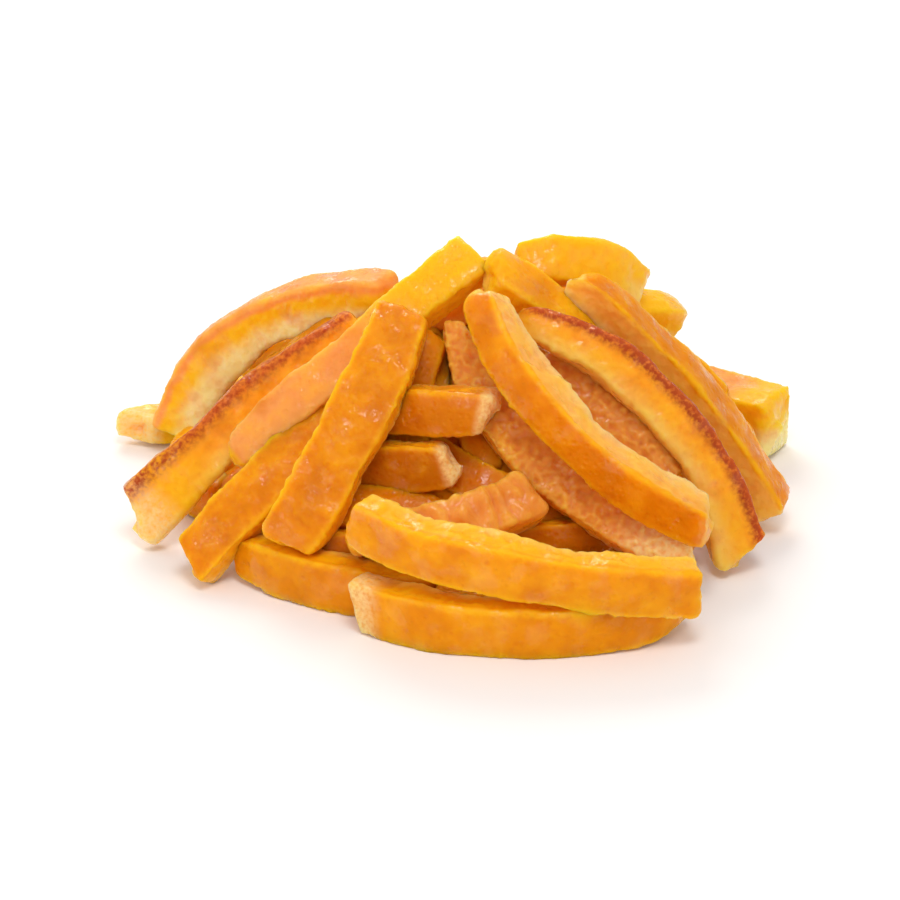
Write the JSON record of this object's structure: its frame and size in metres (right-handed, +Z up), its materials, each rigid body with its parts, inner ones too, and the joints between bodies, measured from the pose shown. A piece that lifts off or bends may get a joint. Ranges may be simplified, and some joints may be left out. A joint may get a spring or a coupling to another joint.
{
  "type": "heap of candied orange peel strips",
  "caption": "Loose heap of glossy candied orange peel strips, some with toasted rind edges, resting as it lies on a table.",
  "frame": {"origin": "on the table surface, under the middle of the heap, a few millimetres in front of the centre of its footprint", "axes": "+Z up from the table, +X to the right along the heap's longest side, +Y to the back, away from the side the heap is usually seen from"},
  "size_m": [0.1397, 0.1212, 0.0566],
  "materials": {
    "candied_peel": "moist syrup gloss over soft translucent peel"
  },
  "bodies": {
    "root": {"peel_heap": "candied_peel"}
  },
  "joints": []
}
